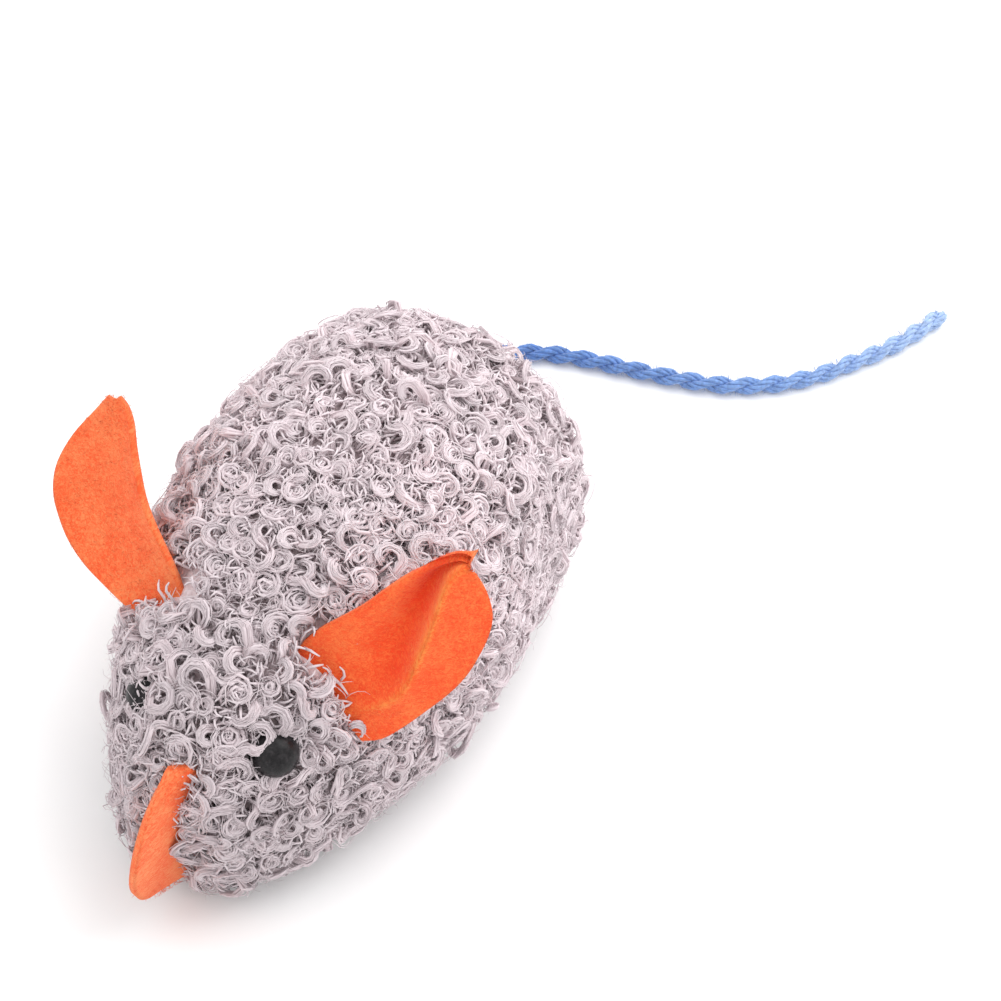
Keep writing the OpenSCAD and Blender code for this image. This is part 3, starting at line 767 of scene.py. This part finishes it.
# ---------- felt ears ----------
# Two petals cut from orange needle felt and caught by their roots in the plush. The left one was folded along
# a diagonal when it was sewn in; the ridge of its fold is painted paler as a highlight and the valley behind
# it darker as shade. The right one is only cupped. The rows run from the buried root to the tip.
felt_thickness = 0.0011
felt_hair_length = 0.0007
felt_hair_radius = 0.000028
felt_hair_spread = 0.0004
ear_hair_count = 1400
rim_face_area = 0.0000006
plane_turn = 0.2
left_rows = [
    # height, rear edge, crease, front edge
    (-0.0026, -0.0075, 0.0010, 0.0065), (0.0, -0.0092, 0.0026, 0.0081), (0.004, -0.0094, 0.0042, 0.0088),
    (0.008, -0.0088, 0.0042, 0.0091), (0.012, -0.0082, 0.0026, 0.0092), (0.016, -0.0079, 0.0007, 0.0087),
    (0.020, -0.0073, -0.0014, 0.0074), (0.0235, -0.0062, -0.0034, 0.0058), (0.0258, -0.0052, -0.0040, 0.0038),
    (0.0273, -0.0044, -0.0036, 0.0010), (0.0279, -0.0034, -0.0030, -0.0018),
]
right_rows = [
    (-0.0026, -0.0042, 0.0002, 0.0034), (0.0, -0.0044, 0.0006, 0.0052), (0.004, -0.0045, 0.0018, 0.0086),
    (0.008, -0.0043, 0.0035, 0.0118), (0.012, -0.0038, 0.0050, 0.0138), (0.016, -0.0030, 0.0058, 0.0145),
    (0.020, -0.0027, 0.0060, 0.0143), (0.024, -0.0022, 0.0052, 0.0125), (0.0275, -0.0020, 0.0033, 0.0088),
    (0.0300, -0.0012, 0.0014, 0.0042), (0.0313, -0.0004, 0.0005, 0.0014),
]


def felt_finish(name, bright, deep):
    """Needle felt: matted fibres, a little uneven in colour, with a soft nap, and painted light and shade
    where a fold is marked.
    """
    finish, tree, shader = new_finish(name)
    set_sockets(shader, Roughness=0.9, Sheen_Weight=0.25, Sheen_Roughness=0.4)
    shader.inputs["Sheen Tint"].default_value = (1.0, 0.62, 0.4, 1)
    place = tree.nodes.new("ShaderNodeTexCoord")
    squeeze = tree.nodes.new("ShaderNodeMapping")
    squeeze.inputs["Scale"].default_value = (1.0, 0.35, 1.4)
    matted = tree.nodes.new("ShaderNodeTexNoise")
    set_sockets(matted, Scale=1900, Detail=4, Roughness=0.7, Distortion=1.5)
    cloudy = tree.nodes.new("ShaderNodeTexNoise")
    set_sockets(cloudy, Scale=190, Detail=3)
    blend = tree.nodes.new("ShaderNodeMath")
    blend.operation = "MULTIPLY_ADD"
    blend.inputs[1].default_value = 0.35
    tone = ramp(tree, [(0.43, deep), (0.60, bright)])
    nap = tree.nodes.new("ShaderNodeBump")
    set_sockets(nap, Strength=0.9, Distance=0.00025)
    tree.links.new(place.outputs["Object"], squeeze.inputs["Vector"])
    tree.links.new(squeeze.outputs["Vector"], matted.inputs["Vector"])
    tree.links.new(place.outputs["Object"], cloudy.inputs["Vector"])
    tree.links.new(cloudy.outputs["Fac"], blend.inputs[0])
    tree.links.new(matted.outputs["Fac"], blend.inputs[2])
    rescale = tree.nodes.new("ShaderNodeMath")
    rescale.operation = "MULTIPLY"
    rescale.inputs[1].default_value = 0.74
    tree.links.new(blend.outputs["Value"], rescale.inputs[0])
    tree.links.new(rescale.outputs["Value"], tone.inputs["Fac"])
    # Painted light and shade of the fold: the ear's per-vertex value brightens the ridge as a highlight and
    # darkens the valley as shade.
    fold_light_shade_node = tree.nodes.new("ShaderNodeAttribute")
    fold_light_shade_node.attribute_name = "fold_light_shade"
    fold_light_shade_range = tree.nodes.new("ShaderNodeMapRange")
    set_sockets(fold_light_shade_range, From_Min=-1, From_Max=1)
    fold_light_shade_tone = ramp(tree, [(0.0, (0.93, 0.60, 0.45)), (0.5, (1.0, 1.0, 1.0)), (1.0, (1.0, 1.75, 1.5))])
    fold_light_shade_felt = tree.nodes.new("ShaderNodeVectorMath")
    fold_light_shade_felt.operation = "MULTIPLY"
    tree.links.new(fold_light_shade_node.outputs["Fac"], fold_light_shade_range.inputs["Value"])
    tree.links.new(fold_light_shade_range.outputs["Result"], fold_light_shade_tone.inputs["Fac"])
    tree.links.new(tone.outputs["Color"], fold_light_shade_felt.inputs[0])
    tree.links.new(fold_light_shade_tone.outputs["Color"], fold_light_shade_felt.inputs[1])
    tree.links.new(fold_light_shade_felt.outputs["Vector"], shader.inputs["Base Color"])
    tree.links.new(matted.outputs["Fac"], nap.inputs["Height"])
    tree.links.new(nap.outputs["Normal"], shader.inputs["Normal"])
    return finish


felt_hairs = [master_hair(80 + k, felt_hair_length, felt_hair_radius) for k in range(6)]


def felt_spots(bm, count, dice):
    """Spots for the fibres that stand off the felt, most of them on its small rim faces."""
    faces = list(bm.faces)
    rims = [f for f in faces if f.calc_area() < rim_face_area]
    for _ in range(count):
        face = dice.choice(rims if rims and dice.random() < 0.6 else faces)
        yield face.calc_center_median().copy(), face.normal.copy()


def felt_piece(bm, name, finish, hairs, seed):
    """Gives a bent sheet its thickness and nap, and makes it a piece."""
    dice = random.Random(seed)
    bmesh.ops.recalc_face_normals(bm, faces=bm.faces)
    bmesh.ops.solidify(bm, geom=bm.faces, thickness=felt_thickness)
    bmesh.ops.recalc_face_normals(bm, faces=bm.faces)
    bm.normal_update()
    for face in bm.faces:
        face.smooth = True
    for point, out in list(felt_spots(bm, hairs, dice)):
        shift = Vector([dice.uniform(-felt_hair_spread, felt_hair_spread) for _ in range(3)])
        shift -= shift.dot(out) * out
        add_copy(bm, dice.choice(felt_hairs), stand_on(point + shift, out, dice))
    return piece_from(bm, name, finish)


def between_rows4(rows, t):
    """Catmull-Rom for rows of four numbers."""
    first = between_rows([row[:2] for row in rows], t)
    second = between_rows([row[2:] for row in rows], t)
    return first[0], first[1], second[0], second[1]


def ear_sheet(rows, side, fold, cup):
    """A petal on a grid whose middle line is the crease: a valley behind it, a lip in front of it."""
    bm = bmesh.new()
    fold_light_shade = bm.verts.layers.float.new("fold_light_shade")
    bmesh.ops.create_grid(bm, x_segments=34, y_segments=40, size=1)
    for v in bm.verts:
        height, rear, crease, front = between_rows4(rows, (v.co.y + 1) / 2)
        along = v.co.x
        across_ear = crease + (front - crease) * along if along > 0 else crease + (crease - rear) * along
        depth = min(1.0, 0.1 + 70 * max(height, 0)) * (1 - ease((height - 0.02) / 0.0095) * 0.6)
        back = 1 + along
        if along < 0:
            lift = fold * depth * (-0.0036 * math.sin(math.pi * back ** 1.9) + 0.0022 * back ** 8)
        else:
            lift = fold * depth * 0.0022 * (1 - along) ** 1.6
        lift += cup * ((across_ear - crease) ** 2 * 24 - 0.0018) + 0.0003 * math.sin(260 * height + 2 * along)
        lift += plane_turn * across_ear + 0.0014 * fold
        point = ear_root + Vector((0, -0.0002, -0.0015)) + across_ear * ear_across + height * ear_up
        point += lift * ear_normal
        v.co = Vector((side * point.x, point.y, point.z))
        # Painted light and shade: a highlight painted along the ridge of the crease, shade painted in the
        # valley behind it.
        ridge = math.exp(-((across_ear - crease) / 0.0007) ** 2)
        valley = math.exp(-((across_ear - crease + 0.0024) / 0.0016) ** 2)
        v[fold_light_shade] = fold * (ridge - valley) * min(1.0, 0.3 + 60 * max(height, 0))
    return bm


felt_left = felt_finish("felt_left", (0.98, 0.195, 0.045), (0.92, 0.075, 0.010))
felt_right = felt_finish("felt_right", (0.98, 0.26, 0.085), (0.94, 0.105, 0.020))
ear_left = felt_piece(ear_sheet(left_rows, 1, 1.0, 0.0), "felt_ear_left", felt_left, ear_hair_count, 31)
ear_right = felt_piece(ear_sheet(right_rows, -1, 0.0, 1.0), "felt_ear_right", felt_right, ear_hair_count, 32)
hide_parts("ear_left")
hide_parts("ear_right")


# ---------- felt nose ----------
# Half a disc of the same felt, caught edge-on in the seam of the face, a little wavy along its free edge.
nose_middle = Vector((0, -0.0385, 0.0170))
nose_radius = 0.012
nose_buried = 0.0022
nose_hair_count = 700

felt_nose = felt_finish("felt_nose", (0.98, 0.30, 0.11), (0.93, 0.12, 0.03))
nose_bm = bmesh.new()
bmesh.ops.create_grid(nose_bm, x_segments=16, y_segments=28, size=1)
for v in nose_bm.verts:
    z = nose_radius * math.sin(0.995 * math.pi / 2 * v.co.y)
    front = -math.sqrt(nose_radius ** 2 - z ** 2)
    y = nose_buried + (front - nose_buried) * (v.co.x + 1) / 2
    wave = 0.0014 - 0.0028 * (v.co.x + 1) / 2 + 0.0004 * math.sin(210 * z + 0.6) * (v.co.x + 1) / 2
    v.co = nose_middle + Vector((wave, y, z))
nose = felt_piece(nose_bm, "felt_nose", felt_nose, nose_hair_count, 33)
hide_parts("nose_tab")


# ---------- eyes ----------
# Black moulded safety eyes: a polished dome on a thin flange, its shank pressed into a washer in the shell.
# The right one sits deeper in the plush, which grows over it.
eye_radius = 0.0035
left_sunk = 0.0004
right_sunk = 0.0021

eye_black, tree, shader = new_finish("eye_black")
set_sockets(shader, Specular_IOR_Level=0.2)
place = tree.nodes.new("ShaderNodeTexCoord")
dust = tree.nodes.new("ShaderNodeTexNoise")
set_sockets(dust, Scale=1400, Detail=4, Roughness=0.7)
dusty = ramp(tree, [(0.5, (0.010, 0.009, 0.010)), (0.75, (0.045, 0.040, 0.043))])
scuffs = tree.nodes.new("ShaderNodeMapRange")
set_sockets(scuffs, From_Min=0.35, From_Max=0.7, To_Min=0.22, To_Max=0.5)
tree.links.new(place.outputs["Object"], dust.inputs["Vector"])
tree.links.new(dust.outputs["Fac"], dusty.inputs["Fac"])
tree.links.new(dust.outputs["Fac"], scuffs.inputs["Value"])
tree.links.new(dusty.outputs["Color"], shader.inputs["Base Color"])
tree.links.new(scuffs.outputs["Result"], shader.inputs["Roughness"])

eye_profile = [(eye_radius * math.sin(a), -0.0010 + eye_radius * math.cos(a))
               for a in (i * math.radians(97) / 18 for i in range(19))]
eye_profile += [(0.0036, -0.0015), (0.0036, -0.0019), (0.0032, -0.0021), (0.0012, -0.0021), (0.0, -0.0021)]
for side, name, sunk in ((1, "left", left_sunk), (-1, "right", right_sunk)):
    eye_bm = bmesh.new()
    line = [eye_bm.verts.new((r, 0, z)) for r, z in eye_profile]
    edges = [eye_bm.edges.new(pair) for pair in zip(line, line[1:])]
    bmesh.ops.spin(eye_bm, geom=line + edges, cent=(0, 0, 0), axis=(0, 0, 1), dvec=(0, 0, 0),
                   angle=math.tau, steps=48, use_merge=True)
    bmesh.ops.remove_doubles(eye_bm, verts=eye_bm.verts, dist=0.000001)
    eye_turn = eye_out.to_track_quat("Z", "Y").to_matrix().to_4x4()
    eye_bm.transform(Matrix.Translation(eye_at - sunk * eye_out) @ eye_turn)
    for v in eye_bm.verts:
        v.co.x *= side
    bmesh.ops.recalc_face_normals(eye_bm, faces=eye_bm.faces)
    for face in eye_bm.faces:
        face.smooth = True
    eye = piece_from(eye_bm, f"bead_eye_{name}", eye_black)
    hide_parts(f"eye_{name}")


# ---------- moulded and metal finishes ----------
# Finishes of the parts that come with the frame, one for each slot of the record.


def grain_group():
    """Fine moulding grain or tool marks: a tone from 0 to 1 and a height, on the part's own coordinates."""
    group = bpy.data.node_groups.new("surface_grain", "ShaderNodeTree")
    group.interface.new_socket("Scale", in_out="INPUT", socket_type="NodeSocketFloat")
    group.interface.new_socket("Stretch", in_out="INPUT", socket_type="NodeSocketVector")
    group.interface.new_socket("Tone", in_out="OUTPUT", socket_type="NodeSocketFloat")
    group.interface.new_socket("Height", in_out="OUTPUT", socket_type="NodeSocketFloat")
    enter = group.nodes.new("NodeGroupInput")
    leave = group.nodes.new("NodeGroupOutput")
    place = group.nodes.new("ShaderNodeTexCoord")
    squeeze = group.nodes.new("ShaderNodeMapping")
    fine = group.nodes.new("ShaderNodeTexNoise")
    set_sockets(fine, Detail=5, Roughness=0.6)
    broad = group.nodes.new("ShaderNodeTexNoise")
    set_sockets(broad, Scale=220, Detail=2)
    blend = group.nodes.new("ShaderNodeMath")
    blend.operation = "MULTIPLY_ADD"
    blend.inputs[1].default_value = 0.5
    rescale = group.nodes.new("ShaderNodeMath")
    rescale.operation = "MULTIPLY"
    rescale.inputs[1].default_value = 0.67
    group.links.new(place.outputs["Object"], squeeze.inputs["Vector"])
    group.links.new(enter.outputs["Stretch"], squeeze.inputs["Scale"])
    group.links.new(squeeze.outputs["Vector"], fine.inputs["Vector"])
    group.links.new(enter.outputs["Scale"], fine.inputs["Scale"])
    group.links.new(place.outputs["Object"], broad.inputs["Vector"])
    group.links.new(fine.outputs["Fac"], blend.inputs[0])
    group.links.new(broad.outputs["Fac"], blend.inputs[2])
    group.links.new(blend.outputs["Value"], rescale.inputs[0])
    group.links.new(rescale.outputs["Value"], leave.inputs["Tone"])
    group.links.new(fine.outputs["Fac"], leave.inputs["Height"])
    return group


surface_grain = grain_group()


def grained_finish(name, low, high, rough, metal=0.0, scale=2500, stretch=(1, 1, 1), bump=0.15):
    """A solid finish whose colour, roughness and surface all follow the grain."""
    finish, tree, shader = new_finish(name)
    set_sockets(shader, Metallic=metal)
    grain = tree.nodes.new("ShaderNodeGroup")
    grain.node_tree = surface_grain
    grain.inputs["Scale"].default_value = scale
    grain.inputs["Stretch"].default_value = stretch
    tone = ramp(tree, [(0.38, low), (0.64, high)])
    polish = tree.nodes.new("ShaderNodeMapRange")
    set_sockets(polish, From_Min=0.35, From_Max=0.65, To_Min=rough[0], To_Max=rough[1])
    relief = tree.nodes.new("ShaderNodeBump")
    set_sockets(relief, Strength=bump, Distance=0.00005)
    tree.links.new(grain.outputs["Tone"], tone.inputs["Fac"])
    tree.links.new(grain.outputs["Tone"], polish.inputs["Value"])
    tree.links.new(grain.outputs["Height"], relief.inputs["Height"])
    tree.links.new(tone.outputs["Color"], shader.inputs["Base Color"])
    tree.links.new(polish.outputs["Result"], shader.inputs["Roughness"])
    tree.links.new(relief.outputs["Normal"], shader.inputs["Normal"])
    return finish


finishes = {
    "fur": plush_fibre,
    "felt": felt_left,
    "eye": eye_black,
    "cord": grained_finish("cord_knot", (0.09, 0.20, 0.55), (0.16, 0.31, 0.70), (0.8, 0.95),
                           scale=3500, bump=0.6),
    "shell_plastic": grained_finish("shell_plastic", (0.22, 0.22, 0.235), (0.27, 0.27, 0.285), (0.42, 0.56)),
    "white_plastic": grained_finish("white_plastic", (0.78, 0.78, 0.75), (0.86, 0.86, 0.83), (0.34, 0.46)),
    "gear_plastic": grained_finish("gear_plastic", (0.72, 0.68, 0.56), (0.80, 0.76, 0.64), (0.32, 0.44)),
    "wheel_plastic": grained_finish("wheel_plastic", (0.80, 0.79, 0.76), (0.88, 0.87, 0.84), (0.30, 0.42)),
    "tyre_rubber": grained_finish("tyre_rubber", (0.018, 0.018, 0.019), (0.040, 0.039, 0.038), (0.68, 0.86),
                                  scale=3800, bump=0.45),
    "steel": grained_finish("turned_steel", (0.52, 0.53, 0.54), (0.66, 0.66, 0.67), (0.26, 0.40), 1.0,
                            3200, (0.15, 1, 1), 0.2),
    "spring_steel": grained_finish("spring_steel", (0.34, 0.36, 0.40), (0.48, 0.49, 0.52), (0.22, 0.36), 1.0,
                                   3000, (0.12, 1, 1), 0.15),
    "key_steel": grained_finish("key_steel", (0.60, 0.60, 0.60), (0.74, 0.73, 0.71), (0.20, 0.34), 1.0,
                                2600, (1, 0.2, 1), 0.15),
    "brass": grained_finish("brass", (0.66, 0.48, 0.20), (0.80, 0.60, 0.28), (0.24, 0.38), 1.0, 2800),
}
for part in frame["record"]["subparts"]:
    node = frame["nodes"][part["node"]]
    for slot in node.material_slots:
        slot.material = finishes[part["material_slot"]]
